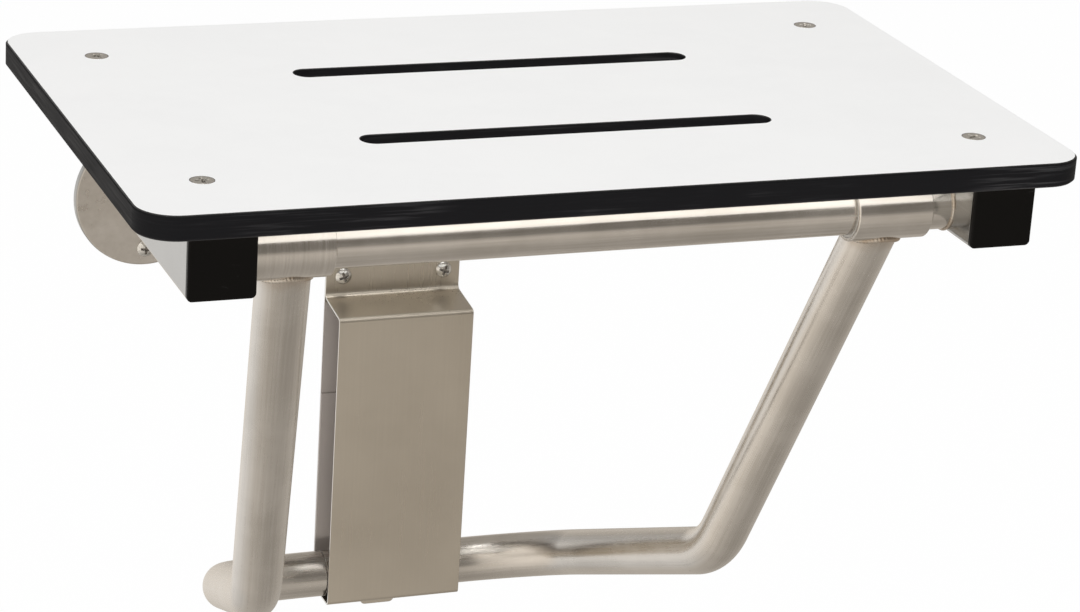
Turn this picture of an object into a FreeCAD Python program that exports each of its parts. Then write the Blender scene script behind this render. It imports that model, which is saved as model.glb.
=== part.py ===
import FreeCAD, Part
import math
import os

# Fold down wall seat, in millimetres.
# The wall is the plane Y = 0 and the room lies toward -Y. X runs along the wall, Z is up, and the origin
# lies on the wall, midway between the two upper screws of the guide. Left and right are as seen from the room.
# The seat turns on a hinge bar near the wall. A bent brace tube hangs from its front crossbar, and the foot
# of the brace slides up and down in a guide on the wall.

# Seat board: black laminate core with a thin decor sheet on both faces
SEAT_WIDTH = 462.0
SEAT_DEPTH = 290.0
SEAT_THICKNESS = 12.0
DECOR_THICKNESS = 0.5
SEAT_CORNER_RADIUS = 19.0
SEAT_EDGE_CHAMFER = 1.0
SEAT_TOP = 159.4
SEAT_WALL_GAP = 48.0
SLOT_LENGTH = 207.0
SLOT_WIDTH = 13.0
SLOT_SPACING = 108.0
SLOT_CHAMFER = 0.8

# Square side tubes and their plastic end plugs
TUBE_SIZE = 31.75
TUBE_WALL = 1.6
TUBE_CORNER_RADIUS = 2.5
TUBE_INSET = 39.0
FRONT_PLUG_INSET = 9.0
REAR_PLUG_INSET = 4.0
PLUG_HEAD = 3.0
PLUG_EDGE_RADIUS = 1.0
PLUG_STEM_DEPTH = 14.0
PLUG_STEM_WALL = 1.5
PLUG_RIB_HEIGHT = 0.6
PLUG_RIB_THICKNESS = 1.2
PLUG_RIB_COUNT = 3
PLUG_CLEARANCE = 0.05

# Round tube of the crossbar, the hinge bar, the wall arms and the brace
BAR_DIAMETER = 25.4
BAR_WALL = 1.2
CROSSBAR_INSET = 42.0
HINGE_WALL_DISTANCE = 73.0

# Bearing sleeves round the bars, each with a plastic liner
SLEEVE_DIAMETER = 31.8
SLEEVE_WALL = 1.65
SLEEVE_CHAMFER = 0.4
BRACE_SLEEVE_LENGTH = 39.0
BRACE_SLEEVE_GAP = 7.6
HINGE_SLEEVE_LENGTH = 40.0
HINGE_SLEEVE_GAP = 14.6
LINER_CLEARANCE = 0.05
RUNNING_CLEARANCE = 0.05
LINER_INSET = 0.3

# Brace: the corners of its axis at the knees and at the foot, before they are bent round
BRACE_SIDE_PLAY = -4.5
KNEE_INSET = 24.0
KNEE_REACH = 175.0
KNEE_RISE = 75.4
KNEE_BEND_RADIUS = 45.0
FOOT_RUN = 55.1
FOOT_BEND_RADIUS = 58.0
FOOT_DROP = 172.0
FOOT_SIDE_GAP = 0.4

# Guide on the wall: back plate with a tab, and a bent cover
GUIDE_WIDTH = 77.0
GUIDE_SHEET = 1.0
GUIDE_PLAY = 0.3
GUIDE_TOP = 16.4
GUIDE_SHELF_DROP = 12.0
GUIDE_SHELF_SLOPE = 3.6
GUIDE_SHELF_BEND = 3.5
GUIDE_EDGE_BEND = 2.0
LEDGE_CLEARANCE = 0.3
TAB_WIDTH = 20.0
TAB_LENGTH = 14.6
TAB_CORNER_RADIUS = 3.0
TAB_SCREW_DROP = 5.6
GUIDE_SCREW_SPACING = 58.0

# Round wall flanges and the bent arms that carry the hinge
FLANGE_DIAMETER = 76.2
FLANGE_THICKNESS = 4.8
FLANGE_EDGE_RADIUS = 1.0
FLANGE_HEIGHT = 53.0
FLANGE_SCREW_CIRCLE = 57.0
FLANGE_SCREW_COUNT = 3
ARM_BEND_RADIUS = 38.0

# Wall screws: pan heads, plain necks through the plates, and threads that stand out behind the wall plane
WALL_SCREW_DIAMETER = 4.8
WALL_SCREW_NECK = 5.2
WALL_SCREW_HEAD = 9.2
WALL_SCREW_HEAD_HEIGHT = 3.4
WALL_SCREW_HEAD_CROWN = 2.2
WALL_SCREW_DEPTH = 34.0
WALL_SCREW_CLEARANCE = 0.3

# Board screws: countersunk heads, each in a round weld nut inside the side tube
BOARD_SCREW_DIAMETER = 6.0
BOARD_SCREW_HEAD = 11.5
BOARD_SCREW_LENGTH = 24.0
BOARD_SCREW_INSET = 46.5
BOARD_SCREW_CLEARANCE = 0.3
COUNTERSINK_CLEARANCE = 0.1
NUT_DIAMETER = 13.0
NUT_HEIGHT = 8.0
THREAD_CLEARANCE = 0.05

# Places that follow from the sizes
SEAT_UNDERSIDE = SEAT_TOP - SEAT_THICKNESS
SEAT_REAR_Y = -SEAT_WALL_GAP
SEAT_FRONT_Y = SEAT_REAR_Y - SEAT_DEPTH
SEAT_MIDDLE_Y = (SEAT_REAR_Y + SEAT_FRONT_Y) / 2
TUBE_AXIS_X = SEAT_WIDTH / 2 - TUBE_INSET
TUBE_INNER_X = TUBE_AXIS_X - TUBE_SIZE / 2
TUBE_AXIS_Z = SEAT_UNDERSIDE - TUBE_SIZE / 2
TUBE_FRONT_Y = SEAT_FRONT_Y + FRONT_PLUG_INSET + PLUG_HEAD
TUBE_REAR_Y = SEAT_REAR_Y - REAR_PLUG_INSET - PLUG_HEAD
BAR_RADIUS = BAR_DIAMETER / 2
BAR_Z = SEAT_UNDERSIDE - TUBE_SIZE + BAR_RADIUS
CROSSBAR_Y = SEAT_FRONT_Y + CROSSBAR_INSET
HINGE_Y = -HINGE_WALL_DISTANCE
SLEEVE_RADIUS = SLEEVE_DIAMETER / 2
BRACE_SLEEVE_X = TUBE_INNER_X - BRACE_SLEEVE_GAP - BRACE_SLEEVE_LENGTH / 2
HINGE_SLEEVE_X = TUBE_INNER_X - HINGE_SLEEVE_GAP - HINGE_SLEEVE_LENGTH / 2
KNEE_X = BRACE_SLEEVE_X - KNEE_INSET
FOOT_Y = -(2 * GUIDE_SHEET + GUIDE_PLAY + BAR_RADIUS)
FOOT_Z = -FOOT_DROP
GUIDE_FRONT_Y = FOOT_Y - BAR_RADIUS - GUIDE_PLAY - GUIDE_SHEET
LEG_END_X = GUIDE_WIDTH / 2 + FOOT_SIDE_GAP
FOOT_CORNER_X = LEG_END_X + FOOT_RUN
LIP_BOTTOM_Z = FOOT_Z - BAR_RADIUS - GUIDE_PLAY - GUIDE_SHEET

# Linkage: seat crank, brace length, and where the foot is when the seat is folded up
CRANK = HINGE_Y - CROSSBAR_Y
BRACE_REACH = FOOT_Y - CROSSBAR_Y
BRACE_LENGTH = math.hypot(BRACE_REACH, BAR_Z - FOOT_Z)
FOLDED_REACH = FOOT_Y - HINGE_Y
FOLDED_FOOT_Z = BAR_Z + CRANK - math.sqrt(BRACE_LENGTH ** 2 - FOLDED_REACH ** 2)
BRACE_TURN = math.degrees(math.asin(BRACE_REACH / BRACE_LENGTH) - math.asin(FOLDED_REACH / BRACE_LENGTH))
LEDGE_Z = FOLDED_FOOT_Z - BAR_RADIUS - LEDGE_CLEARANCE

X_AXIS = FreeCAD.Vector(1, 0, 0)
Y_AXIS = FreeCAD.Vector(0, 1, 0)
Z_AXIS = FreeCAD.Vector(0, 0, 1)
SIDES = {"left": -1, "right": 1}


def vector(x, y, z):
    return FreeCAD.Vector(x, y, z)


def save(name, shape):
    """Write one sub-part, whose file name is its node name."""
    shape.exportStep(os.path.join("parts", name + ".step"))
    print(name, "solids", len(shape.Solids), "volume", round(shape.Volume, 1), "valid", shape.isValid())


def rounded_corner(before, corner, after, radius):
    """Start, middle and end points of the arc that rounds a corner between two straight runs."""
    coming = (corner - before).normalize()
    going = (after - corner).normalize()
    half_turn = coming.getAngle(going) / 2
    tangent = radius * math.tan(half_turn)
    inward = (going - coming).normalize()
    centre = corner + inward * (radius / math.cos(half_turn))
    return corner - coming * tangent, centre - inward * radius, corner + going * tangent


def widest_bend(before, corner, after):
    """The largest bend radius that the shorter of the two runs leaves room for."""
    half_turn = (corner - before).getAngle(after - corner) / 2
    return min((corner - before).Length, (after - corner).Length) / math.tan(half_turn)


def rounded_wire(points, radii, closed=False):
    """Straight runs through the points, with each corner rounded by its own radius."""
    edges = []
    count = len(points)
    place = None if closed else points[0]
    first = None
    corners = range(count) if closed else range(1, count - 1)
    for index, corner in enumerate(corners):
        before, after = points[corner - 1], points[(corner + 1) % count]
        start, middle, end = rounded_corner(before, points[corner], after, radii[index])
        if place is None:
            first = start
        elif (start - place).Length > Part.Precision.confusion():
            edges.append(Part.LineSegment(place, start).toShape())
        edges.append(Part.Arc(start, middle, end).toShape())
        place = end
    last = first if closed else points[-1]
    if (last - place).Length > Part.Precision.confusion():
        edges.append(Part.LineSegment(place, last).toShape())
    return Part.Wire(edges)


def rounded_rectangle(width, depth, radius, centre, across, along):
    """Face of a rectangle with rounded corners, spanned by two unit directions."""
    half_across = across * (width / 2)
    half_along = along * (depth / 2)
    corners = [
        centre - half_across - half_along,
        centre + half_across - half_along,
        centre + half_across + half_along,
        centre - half_across + half_along,
    ]
    return Part.Face(rounded_wire(corners, [radius] * len(corners), closed=True))


def swept_bar(path, start, direction, radius):
    """Solid round bar along a path of straight runs and tangent arcs."""
    circle = Part.Circle(start, direction, radius).toShape()
    return path.makePipeShell([Part.Wire([circle])], True, False)


def swept_tube(points, radii):
    """Round tube along rounded runs, open at both ends."""
    path = rounded_wire(points, radii)
    direction = points[1] - points[0]
    outside = swept_bar(path, points[0], direction, BAR_RADIUS)
    return outside.cut(swept_bar(path, points[0], direction, BAR_RADIUS - BAR_WALL))


def tube_along_x(middle_x, length, y, z, outer_radius, inner_radius, chamfer=0.0):
    """Straight round tube along X, with both outer rims chamfered where a size is given."""
    start = vector(middle_x - length / 2, y, z)
    outside = Part.makeCylinder(outer_radius, length, start, X_AXIS)
    if chamfer:
        outside = outside.makeChamfer(chamfer, [edge for edge in outside.Edges if is_circle(edge)])
    return outside.cut(Part.makeCylinder(inner_radius, length, start, X_AXIS))


def is_circle(edge):
    return isinstance(edge.Curve, Part.Circle)


def board_screw_places():
    """Where the four board screws go through the seat, above the side tubes."""
    rows = (SEAT_REAR_Y - BOARD_SCREW_INSET, SEAT_FRONT_Y + BOARD_SCREW_INSET)
    return [(side * TUBE_AXIS_X, y) for side in SIDES.values() for y in rows]


def slot_cutter(y):
    """One long round-ended slot with a chamfer at both faces of the board."""
    ends = SLOT_WIDTH / 2
    straight = SLOT_LENGTH - SLOT_WIDTH
    pieces = [Part.makeBox(straight, SLOT_WIDTH, SEAT_THICKNESS, vector(-straight / 2, y - ends, SEAT_UNDERSIDE))]
    pieces += [
        Part.makeCylinder(ends, SEAT_THICKNESS, vector(side * straight / 2, y, SEAT_UNDERSIDE), Z_AXIS)
        for side in SIDES.values()
    ]
    cutter = pieces[0].fuse(pieces[1:]).removeSplitter()
    for level, flip in ((SEAT_TOP, -1), (SEAT_UNDERSIDE, 1)):
        cutter = cutter.fuse(flared_slot(y, level, flip))
    return cutter


def flared_slot(y, level, flip):
    """The chamfer of a slot at one face: a loft from a wider outline down to the slot's own."""
    straight = SLOT_LENGTH - SLOT_WIDTH
    outlines = []
    for offset, depth in ((SLOT_CHAMFER, 0.0), (0.0, SLOT_CHAMFER)):
        radius = SLOT_WIDTH / 2 + offset
        z = level + flip * depth
        left, right = -straight / 2, straight / 2
        outlines.append(Part.Wire([
            Part.LineSegment(vector(left, y - radius, z), vector(right, y - radius, z)).toShape(),
            Part.Arc(vector(right, y - radius, z), vector(right + radius, y, z), vector(right, y + radius, z)).toShape(),
            Part.LineSegment(vector(right, y + radius, z), vector(left, y + radius, z)).toShape(),
            Part.Arc(vector(left, y + radius, z), vector(left - radius, y, z), vector(left, y - radius, z)).toShape(),
        ]))
    return Part.makeLoft(outlines, True, True)


def seat_board():
    """The whole board, before it is parted into the core and its two decor sheets."""
    middle = vector(0, SEAT_MIDDLE_Y, SEAT_UNDERSIDE)
    outline = rounded_rectangle(SEAT_WIDTH, SEAT_DEPTH, SEAT_CORNER_RADIUS, middle, X_AXIS, Y_AXIS)
    board = outline.extrude(Z_AXIS * SEAT_THICKNESS)
    rims = [edge for edge in board.Edges if abs(edge.tangentAt(edge.FirstParameter).z) < 0.5]
    board = board.makeChamfer(SEAT_EDGE_CHAMFER, rims)
    head = BOARD_SCREW_HEAD / 2 + COUNTERSINK_CLEARANCE
    hole = BOARD_SCREW_DIAMETER / 2 + BOARD_SCREW_CLEARANCE
    sink = (BOARD_SCREW_HEAD - BOARD_SCREW_DIAMETER) / 2
    tools = [slot_cutter(SEAT_MIDDLE_Y + side * SLOT_SPACING / 2) for side in SIDES.values()]
    for x, y in board_screw_places():
        tools.append(Part.makeCylinder(hole, SEAT_THICKNESS, vector(x, y, SEAT_UNDERSIDE), Z_AXIS))
        tools.append(Part.makeCone(head - sink, head, sink, vector(x, y, SEAT_TOP - sink), Z_AXIS))
    return board.cut(tools)


def board_layer(board, low, high):
    """The slice of the board between two levels."""
    corner = vector(-SEAT_WIDTH, SEAT_FRONT_Y - SEAT_DEPTH, low)
    return board.common(Part.makeBox(2 * SEAT_WIDTH, 3 * SEAT_DEPTH, high - low, corner))


def side_tube(side):
    """Square steel tube below the board, drilled through its top wall for the board screws."""
    x = side * TUBE_AXIS_X
    start = vector(x, TUBE_FRONT_Y, TUBE_AXIS_Z)
    length = TUBE_REAR_Y - TUBE_FRONT_Y
    inner_size = TUBE_SIZE - 2 * TUBE_WALL
    inner_radius = TUBE_CORNER_RADIUS - TUBE_WALL
    outside = rounded_rectangle(TUBE_SIZE, TUBE_SIZE, TUBE_CORNER_RADIUS, start, X_AXIS, Z_AXIS)
    inside = rounded_rectangle(inner_size, inner_size, inner_radius, start, X_AXIS, Z_AXIS)
    tube = outside.extrude(Y_AXIS * length).cut(inside.extrude(Y_AXIS * length))
    hole = BOARD_SCREW_DIAMETER / 2 + BOARD_SCREW_CLEARANCE
    places = [place for place in board_screw_places() if place[0] * side > 0]
    drills = [Part.makeCylinder(hole, TUBE_WALL, vector(px, py, SEAT_UNDERSIDE - TUBE_WALL), Z_AXIS)
              for px, py in places]
    return tube.cut(drills)


def square_plug(side, end_y, outward):
    """Plastic end plug: a flat head over the tube's end, and a hollow ribbed stem inside the tube."""
    seat = vector(side * TUBE_AXIS_X, end_y, TUBE_AXIS_Z)
    head = rounded_rectangle(TUBE_SIZE, TUBE_SIZE, TUBE_CORNER_RADIUS, seat, X_AXIS, Z_AXIS)
    head = head.extrude(Y_AXIS * (outward * PLUG_HEAD))
    face_y = end_y + outward * PLUG_HEAD
    rim = [edge for edge in head.Edges if abs(edge.CenterOfMass.y - face_y) < PLUG_HEAD / 100]
    head = head.makeFillet(PLUG_EDGE_RADIUS, rim)
    bore = TUBE_SIZE - 2 * TUBE_WALL - 2 * PLUG_CLEARANCE
    stem_size = bore - 2 * PLUG_RIB_HEIGHT
    stem_radius = TUBE_CORNER_RADIUS - TUBE_WALL
    hollow_size = stem_size - 2 * PLUG_STEM_WALL
    inward = -outward * Y_AXIS
    stem = rounded_rectangle(stem_size, stem_size, stem_radius, seat, X_AXIS, Z_AXIS).extrude(inward * PLUG_STEM_DEPTH)
    ribs = []
    for number in range(PLUG_RIB_COUNT):
        depth = PLUG_STEM_DEPTH * (number + 1) / (PLUG_RIB_COUNT + 1) - PLUG_RIB_THICKNESS / 2
        collar = rounded_rectangle(bore, bore, stem_radius, seat + inward * depth, X_AXIS, Z_AXIS)
        ribs.append(collar.extrude(inward * PLUG_RIB_THICKNESS))
    hollow = rounded_rectangle(hollow_size, hollow_size, stem_radius, seat, X_AXIS, Z_AXIS)
    return head.fuse([stem] + ribs).cut(hollow.extrude(inward * PLUG_STEM_DEPTH)).removeSplitter()


def round_bar(y):
    """Round tube welded between the inner faces of the two side tubes."""
    return tube_along_x(0, 2 * TUBE_INNER_X, y, BAR_Z, BAR_RADIUS, BAR_RADIUS - BAR_WALL)


def sleeve(middle_x, length, y):
    """Steel bearing sleeve round a bar."""
    return tube_along_x(middle_x, length, y, BAR_Z, SLEEVE_RADIUS, SLEEVE_RADIUS - SLEEVE_WALL, SLEEVE_CHAMFER)


def liner(middle_x, length, y):
    """Plastic liner that fills the sleeve and runs on the bar."""
    outer = SLEEVE_RADIUS - SLEEVE_WALL - LINER_CLEARANCE
    return tube_along_x(middle_x, length - 2 * LINER_INSET, y, BAR_Z, outer, BAR_RADIUS + RUNNING_CLEARANCE)


def brace_sleeve_x(side):
    return side * BRACE_SLEEVE_X + BRACE_SIDE_PLAY


def brace_leg(side):
    """Half of the bent brace tube, coped round its sleeve at the top and ending beside the guide."""
    top = vector(brace_sleeve_x(side), CROSSBAR_Y, BAR_Z)
    knee = vector(side * KNEE_X + BRACE_SIDE_PLAY, FOOT_Y - KNEE_REACH, FOOT_Z + KNEE_RISE)
    corner = vector(side * FOOT_CORNER_X + BRACE_SIDE_PLAY, FOOT_Y, FOOT_Z)
    end = vector(side * LEG_END_X, FOOT_Y, FOOT_Z)
    foot_bend = min(FOOT_BEND_RADIUS, widest_bend(knee, corner, end))
    tube = swept_tube([top, knee, corner, end], [KNEE_BEND_RADIUS, foot_bend])
    start = vector(top.x - BRACE_SLEEVE_LENGTH, CROSSBAR_Y, BAR_Z)
    return tube.cut(Part.makeCylinder(SLEEVE_RADIUS, 2 * BRACE_SLEEVE_LENGTH, start, X_AXIS))


def brace_foot():
    """Straight middle of the brace tube, which slides inside the guide."""
    return tube_along_x(0, GUIDE_WIDTH, FOOT_Y, FOOT_Z, BAR_RADIUS, BAR_RADIUS - BAR_WALL)


def bent_sheet(points, bend_radii, thickness, x, width):
    """Sheet bent along X: both faces run half a thickness from the middle line, with shared bend centres."""
    faces = []
    for offset in (thickness / 2, -thickness / 2):
        shifted = offset_corners(points, offset)
        radii = []
        for index, radius in enumerate(bend_radii, start=1):
            coming, going = points[index] - points[index - 1], points[index + 1] - points[index]
            turns_left = coming.cross(going).x > 0
            radii.append(radius - offset if turns_left else radius + offset)
        faces.append(rounded_wire(shifted, radii))
    ends = [Part.LineSegment(faces[0].OrderedVertexes[end].Point, faces[1].OrderedVertexes[end].Point).toShape()
            for end in (0, -1)]
    outline = Part.Wire(Part.__sortEdges__(faces[0].Edges + faces[1].Edges + ends))
    sheet = Part.Face(outline).extrude(X_AXIS * width)
    sheet.translate(vector(x - width / 2, 0, 0))
    return sheet


def offset_corners(points, offset):
    """Corners of a line that runs parallel to the one through the points, to its left seen along +X."""
    normals = []
    for start, end in zip(points, points[1:]):
        along = (end - start).normalize()
        normals.append(X_AXIS.cross(along))
    shifted = [points[0] + normals[0] * offset]
    for corner, before, after in zip(points[1:-1], normals, normals[1:]):
        middle = (before + after).normalize()
        shifted.append(corner + middle * (offset / middle.dot(before)))
    shifted.append(points[-1] + normals[-1] * offset)
    return shifted


def wall_screw_drill(x, z):
    radius = WALL_SCREW_NECK / 2 + WALL_SCREW_CLEARANCE
    depth = FLANGE_THICKNESS + 2 * GUIDE_SHEET
    return Part.makeCylinder(radius, depth, vector(x, -depth, z), Y_AXIS)


def guide_screw_places():
    return [(side * GUIDE_SCREW_SPACING / 2, 0.0) for side in SIDES.values()]


def tab_screw_place():
    return 0.0, LIP_BOTTOM_Z - TAB_SCREW_DROP


def guide_cover():
    """Bent cover: wall flange, sloping shelf, front plate, bottom lip and the leaf that ends at the ledge."""
    wall_side = -1.5 * GUIDE_SHEET
    front = GUIDE_FRONT_Y + GUIDE_SHEET / 2
    lip = LIP_BOTTOM_Z + GUIDE_SHEET / 2
    points = [
        vector(0, wall_side, GUIDE_TOP),
        vector(0, wall_side, -GUIDE_SHELF_DROP),
        vector(0, front, -GUIDE_SHELF_DROP - GUIDE_SHELF_SLOPE),
        vector(0, front, lip),
        vector(0, wall_side, lip),
        vector(0, wall_side, LEDGE_Z),
    ]
    bends = [GUIDE_SHELF_BEND, GUIDE_EDGE_BEND, GUIDE_EDGE_BEND, GUIDE_EDGE_BEND]
    cover = bent_sheet(points, bends, GUIDE_SHEET, 0, GUIDE_WIDTH)
    return cover.cut([wall_screw_drill(x, z) for x, z in guide_screw_places()])


def guide_back_plate():
    """Flat plate on the wall behind the cover, with a rounded tab below it."""
    height = GUIDE_TOP - LIP_BOTTOM_Z
    plate = Part.makeBox(GUIDE_WIDTH, GUIDE_SHEET, height, vector(-GUIDE_WIDTH / 2, -GUIDE_SHEET, LIP_BOTTOM_Z))
    tab_height = TAB_LENGTH + 2 * TAB_CORNER_RADIUS
    middle = vector(0, -GUIDE_SHEET, LIP_BOTTOM_Z - TAB_LENGTH + tab_height / 2)
    tab = rounded_rectangle(TAB_WIDTH, tab_height, TAB_CORNER_RADIUS, middle, X_AXIS, Z_AXIS)
    plate = plate.fuse(tab.extrude(Y_AXIS * GUIDE_SHEET)).removeSplitter()
    return plate.cut([wall_screw_drill(x, z) for x, z in guide_screw_places() + [tab_screw_place()]])


def pan_screw(x, z, seat_y):
    """Pan head wall screw: a low crowned head on its seat, a neck through the plates, a thread into the wall."""
    head, neck, thread = WALL_SCREW_HEAD / 2, WALL_SCREW_NECK / 2, WALL_SCREW_DIAMETER / 2
    edge_height = WALL_SCREW_HEAD_HEIGHT - WALL_SCREW_HEAD_CROWN
    top = seat_y - WALL_SCREW_HEAD_HEIGHT
    edge_top = seat_y - edge_height
    # the crown is an arc through the rim, the top and the far rim
    crown_radius = (head ** 2 + WALL_SCREW_HEAD_CROWN ** 2) / (2 * WALL_SCREW_HEAD_CROWN)
    half_angle = math.asin(head / crown_radius) / 2
    crown_middle = vector(crown_radius * math.sin(half_angle), top + crown_radius * (1 - math.cos(half_angle)), 0)
    line = [vector(0, top, 0), vector(head, edge_top, 0), vector(head, seat_y, 0), vector(neck, seat_y, 0),
            vector(neck, 0, 0), vector(thread, 0, 0), vector(thread, WALL_SCREW_DEPTH, 0),
            vector(0, WALL_SCREW_DEPTH, 0), vector(0, top, 0)]
    edges = [Part.Arc(line[0], crown_middle, line[1]).toShape()]
    edges += [Part.LineSegment(start, end).toShape() for start, end in zip(line[1:], line[2:])]
    screw = Part.Face(Part.Wire(edges)).revolve(vector(0, 0, 0), Y_AXIS, 360)
    screw.translate(vector(x, 0, z))
    return screw


def flange_screw_places(side):
    """Screws round the flange's circle, the first one straight below the middle."""
    radius = FLANGE_SCREW_CIRCLE / 2
    places = []
    for number in range(FLANGE_SCREW_COUNT):
        angle = math.radians(-90 + 360 * number / FLANGE_SCREW_COUNT)
        x = side * HINGE_SLEEVE_X + radius * math.cos(angle)
        places.append((x, FLANGE_HEIGHT + radius * math.sin(angle)))
    return places


def wall_flange(side):
    """Round steel flange against the wall, with a rounded front rim."""
    base = vector(side * HINGE_SLEEVE_X, 0, FLANGE_HEIGHT)
    disc = Part.makeCylinder(FLANGE_DIAMETER / 2, FLANGE_THICKNESS, base, -Y_AXIS)
    rim = [edge for edge in disc.Edges if is_circle(edge) and edge.CenterOfMass.y < -FLANGE_THICKNESS / 2]
    disc = disc.makeFillet(FLANGE_EDGE_RADIUS, rim)
    return disc.cut([wall_screw_drill(x, z) for x, z in flange_screw_places(side)])


def wall_arm(side):
    """Bent tube from the flange out and up to the hinge sleeve, coped round it."""
    x = side * HINGE_SLEEVE_X
    foot = vector(x, -FLANGE_THICKNESS, FLANGE_HEIGHT)
    corner = vector(x, HINGE_Y, FLANGE_HEIGHT)
    top = vector(x, HINGE_Y, BAR_Z)
    tube = swept_tube([foot, corner, top], [ARM_BEND_RADIUS])
    start = vector(x - HINGE_SLEEVE_LENGTH, HINGE_Y, BAR_Z)
    return tube.cut(Part.makeCylinder(SLEEVE_RADIUS, 2 * HINGE_SLEEVE_LENGTH, start, X_AXIS))


def countersunk_screw(x, y):
    """Countersunk board screw, flush with the seat's top."""
    head, shank = BOARD_SCREW_HEAD / 2, BOARD_SCREW_DIAMETER / 2
    sink = head - shank
    tip = SEAT_TOP - BOARD_SCREW_LENGTH
    line = [vector(0, 0, SEAT_TOP), vector(head, 0, SEAT_TOP), vector(shank, 0, SEAT_TOP - sink),
            vector(shank, 0, tip), vector(0, 0, tip)]
    screw = Part.Face(Part.makePolygon(line + line[:1])).revolve(vector(0, 0, 0), Z_AXIS, 360)
    screw.translate(vector(x, y, 0))
    return screw


def weld_nut(x, y):
    """Round weld nut below the top wall of a side tube."""
    base = vector(x, y, SEAT_UNDERSIDE - TUBE_WALL - NUT_HEIGHT)
    nut = Part.makeCylinder(NUT_DIAMETER / 2, NUT_HEIGHT, base, Z_AXIS)
    return nut.cut(Part.makeCylinder(BOARD_SCREW_DIAMETER / 2 + THREAD_CLEARANCE, NUT_HEIGHT, base, Z_AXIS))


def build_seat():
    board = seat_board()
    core_low, core_high = SEAT_UNDERSIDE + DECOR_THICKNESS, SEAT_TOP - DECOR_THICKNESS
    save("seat_core", board_layer(board, core_low, core_high))
    save("seat_top_sheet", board_layer(board, core_high, SEAT_TOP))
    save("seat_underside_sheet", board_layer(board, SEAT_UNDERSIDE, core_low))
    save("board_screws", Part.makeCompound([countersunk_screw(x, y) for x, y in board_screw_places()]))
    save("board_screw_nuts", Part.makeCompound([weld_nut(x, y) for x, y in board_screw_places()]))
    save("front_crossbar", round_bar(CROSSBAR_Y))
    save("hinge_bar", round_bar(HINGE_Y))
    for name, side in SIDES.items():
        save(name + "_side_tube", side_tube(side))
        save(name + "_front_plug", square_plug(side, TUBE_FRONT_Y, -1))
        save(name + "_rear_plug", square_plug(side, TUBE_REAR_Y, 1))


def build_brace():
    for name, side in SIDES.items():
        x = brace_sleeve_x(side)
        save(name + "_brace_sleeve", sleeve(x, BRACE_SLEEVE_LENGTH, CROSSBAR_Y))
        save(name + "_brace_liner", liner(x, BRACE_SLEEVE_LENGTH, CROSSBAR_Y))
        save(name + "_brace_leg", brace_leg(side))
    save("brace_foot", brace_foot())


def build_wall_parts():
    save("guide_cover", guide_cover())
    save("guide_back_plate", guide_back_plate())
    upper = [pan_screw(x, z, -2 * GUIDE_SHEET) for x, z in guide_screw_places()]
    save("guide_upper_screws", Part.makeCompound(upper))
    save("guide_tab_screw", pan_screw(*tab_screw_place(), -GUIDE_SHEET))
    for name, side in SIDES.items():
        x = side * HINGE_SLEEVE_X
        save(name + "_wall_flange", wall_flange(side))
        screws = [pan_screw(px, pz, -FLANGE_THICKNESS) for px, pz in flange_screw_places(side)]
        save(name + "_flange_screws", Part.makeCompound(screws))
        save(name + "_wall_arm", wall_arm(side))
        save(name + "_hinge_sleeve", sleeve(x, HINGE_SLEEVE_LENGTH, HINGE_Y))
        save(name + "_hinge_liner", liner(x, HINGE_SLEEVE_LENGTH, HINGE_Y))


os.makedirs("parts", exist_ok=True)
build_seat()
build_brace()
build_wall_parts()
print("seat hinge at y", HINGE_Y, "z", BAR_Z, "and brace hinge at y", CROSSBAR_Y)
print("brace turns", round(BRACE_TURN, 3), "degrees while the seat turns 90")
print("foot rises", round(FOLDED_FOOT_Z - FOOT_Z, 3), "from", FOOT_Z, "at y", FOOT_Y)
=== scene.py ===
import math

import bpy
import numpy as np
from bpy.props import FloatProperty, FloatVectorProperty, IntProperty, PointerProperty
from bpy.types import Operator, Panel, PropertyGroup
from mathutils import Matrix, Vector


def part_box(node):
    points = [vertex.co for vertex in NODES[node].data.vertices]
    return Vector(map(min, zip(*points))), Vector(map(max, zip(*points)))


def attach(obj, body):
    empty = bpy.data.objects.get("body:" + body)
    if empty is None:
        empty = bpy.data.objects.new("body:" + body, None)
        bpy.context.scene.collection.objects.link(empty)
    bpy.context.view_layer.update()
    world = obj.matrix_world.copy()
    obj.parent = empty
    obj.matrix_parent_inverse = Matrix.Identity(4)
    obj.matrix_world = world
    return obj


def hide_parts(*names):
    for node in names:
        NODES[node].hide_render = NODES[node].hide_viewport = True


bl_info = {
    "name": "Fold Down Wall Seat",
    "version": (1, 0, 0),
    "blender": (4, 5, 0),
    "location": "View3D > Sidebar > Wall Seat",
    "description": "Finishes, fasteners, welds and bent tubes of a fold down wall seat, and its studio",
    "category": "Object",
}

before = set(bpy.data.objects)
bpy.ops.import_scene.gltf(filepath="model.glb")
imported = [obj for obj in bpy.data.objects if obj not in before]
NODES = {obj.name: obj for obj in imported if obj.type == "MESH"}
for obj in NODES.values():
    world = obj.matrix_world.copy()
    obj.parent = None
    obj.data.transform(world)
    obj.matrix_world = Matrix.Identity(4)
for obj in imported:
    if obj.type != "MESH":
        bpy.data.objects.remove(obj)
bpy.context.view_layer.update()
SIDES = {"left": -1, "right": 1}

X_AXIS = np.array((1.0, 0.0, 0.0))
FULL_TURN = 2 * math.pi
NO_TRIANGLES = np.zeros((0, 3), int)


# Property helpers

def length(name, description, default):
    return FloatProperty(name=name, description=description, default=default, min=0.0, unit="LENGTH",
                         subtype="DISTANCE", precision=5)


def position(name, description, default):
    return FloatVectorProperty(name=name, description=description, default=default, size=3, unit="LENGTH",
                               subtype="TRANSLATION", precision=4)


def extent(name, description, default):
    return FloatVectorProperty(name=name, description=description, default=default, size=2, min=0.0,
                               unit="LENGTH")


def angle(name, description, default):
    return FloatProperty(name=name, description=description, default=default, unit="ROTATION",
                         subtype="ANGLE")


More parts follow.
